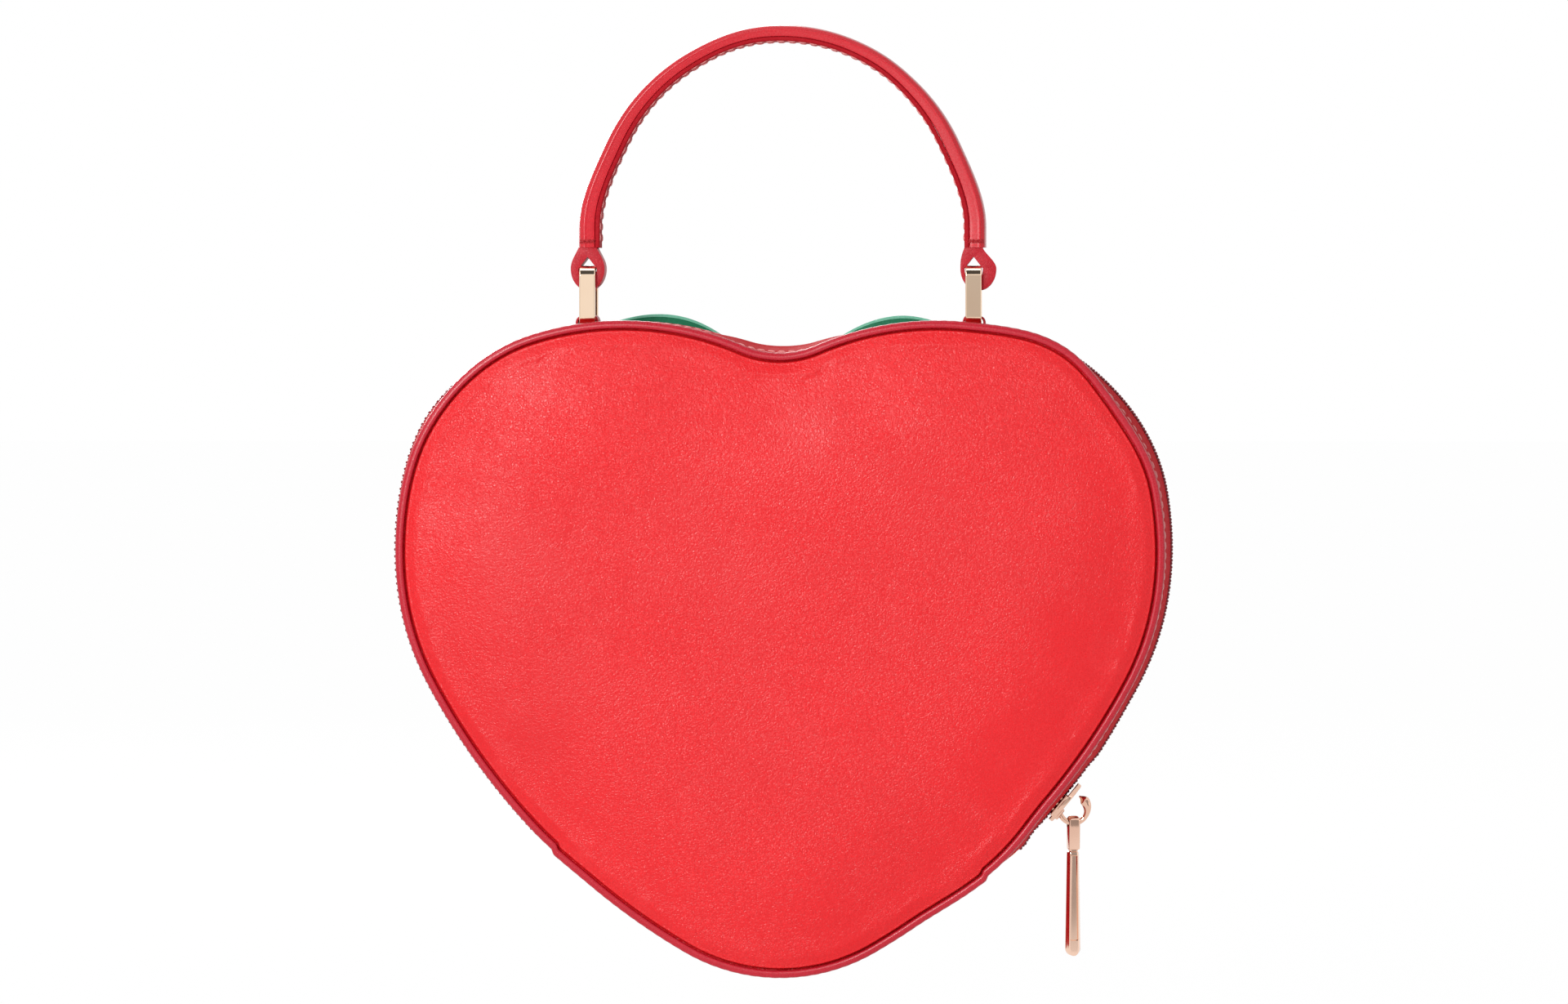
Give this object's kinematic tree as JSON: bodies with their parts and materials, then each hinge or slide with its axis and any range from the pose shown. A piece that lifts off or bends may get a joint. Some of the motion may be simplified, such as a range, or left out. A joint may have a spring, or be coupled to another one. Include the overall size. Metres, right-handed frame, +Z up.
{
  "type": "strawberry crossbody bag",
  "caption": "Heart-shaped red leather zip bag with a short top handle on ring links, a padded plain back and a domed strawberry front with leaves.",
  "frame": {"origin": "underside of the handle's crown, on the bag's middle line and in the plane of the handle, where a hand or a hook carries the bag", "axes": "+X to the right as seen from the plain back, +Y from the plain back towards the strawberry front, +Z up"},
  "size_m": [0.207, 0.0717, 0.2499],
  "materials": {
    "red_leather": "smooth, faintly grained coral-red leather with a soft sheen",
    "edge_leather": "pinkish-red turned leather edge, slightly duller than the panels",
    "green_leather": "mid-green leather with pale cut edges",
    "lining_cloth": "plain rose woven lining",
    "padding": "matt padding, hidden between the leather and the board",
    "inner_board": "matt stiffening board, hidden",
    "zip_cloth": "dark red woven zip tape",
    "zip_coil": "dark red moulded zip coil",
    "gold_metal": "polished pale gold plating"
  },
  "bodies": {
    "handle": {"handle_outer": "red_leather", "handle_core": "inner_board", "handle_underlay": "edge_leather", "handle_loop_left": "red_leather", "handle_loop_right": "red_leather"},
    "ring_link_left": {"ring_left": "gold_metal"},
    "ring_link_right": {"ring_right": "gold_metal"},
    "bag_back": {"back_panel": "red_leather", "back_foam": "padding", "back_board": "inner_board", "back_piping": "edge_leather", "back_gusset": "red_leather", "back_lining": "lining_cloth", "back_zip_tape": "zip_cloth", "back_zip_teeth": "zip_coil", "back_zip_stop_left": "gold_metal", "back_zip_stop_right": "gold_metal", "slip_pocket": "lining_cloth", "bottom_gusset": "red_leather", "ring_tab_left": "edge_leather", "ring_tab_right": "edge_leather"},
    "bag_front": {"front_panel": "red_leather", "front_foam": "padding", "front_board": "inner_board", "front_piping": "edge_leather", "front_gusset": "red_leather", "front_lining": "lining_cloth", "front_zip_tape": "zip_cloth", "front_zip_teeth": "zip_coil", "front_zip_stop_left": "gold_metal", "front_zip_stop_right": "gold_metal", "leaf_upper_left": "green_leather", "leaf_upper_right": "green_leather", "leaf_lower_left": "green_leather", "leaf_lower_right": "green_leather", "leaf_middle": "green_leather", "calyx_hub": "green_leather", "seed_01": "gold_metal", "seed_02": "gold_metal", "seed_03": "gold_metal", "seed_04": "gold_metal", "seed_05": "gold_metal", "seed_06": "gold_metal", "seed_07": "gold_metal", "seed_08": "gold_metal", "seed_09": "gold_metal", "seed_10": "gold_metal", "seed_11": "gold_metal", "seed_12": "gold_metal", "seed_13": "gold_metal", "seed_14": "gold_metal"},
    "zip_slider": {"slider_body": "gold_metal", "slider_bail": "gold_metal"},
    "zip_pull": {"pull_bar": "gold_metal"}
  },
  "joints": [
    {"name": "left_ring_swing", "type": "hinge", "parent": "handle", "child": "ring_link_left", "pos_m": [-0.0506, 0, -0.05965], "axis": [0, 1, 0], "range_deg": [-17, 17]},
    {"name": "bag_sway", "type": "hinge", "parent": "ring_link_left", "child": "bag_back", "pos_m": [-0.0506, 0, -0.07415], "axis": [0, 1, 0], "range_deg": [-17, 17]},
    {"name": "right_ring_swing", "type": "hinge", "parent": "bag_back", "child": "ring_link_right", "pos_m": [0.0506, 0, -0.07415], "axis": [0, 1, 0], "range_deg": [-17, 17]},
    {"name": "bag_open", "type": "hinge", "parent": "bag_back", "child": "bag_front", "pos_m": [0, 0.016, -0.2326], "axis": [-1, 0, 0], "range_deg": [0, 30], "deforming": ["bottom_gusset"]},
    {"name": "zip_slide", "type": "hinge", "parent": "bag_back", "child": "zip_slider", "pos_m": [-0.0646, 0.016, -0.08503], "axis": [0, -1, 0], "range_deg": [0, 9]},
    {"name": "pull_swing", "type": "hinge", "parent": "zip_slider", "child": "zip_pull", "pos_m": [0.07692, 0.016, -0.20253], "axis": [0, -1, 0], "range_deg": [-30, 118]}
  ],
  "couplings": [
    {"joint": "left_ring_swing", "follows": "bag_sway", "ratio": -1},
    {"joint": "right_ring_swing", "follows": "bag_sway", "ratio": -1}
  ]
}
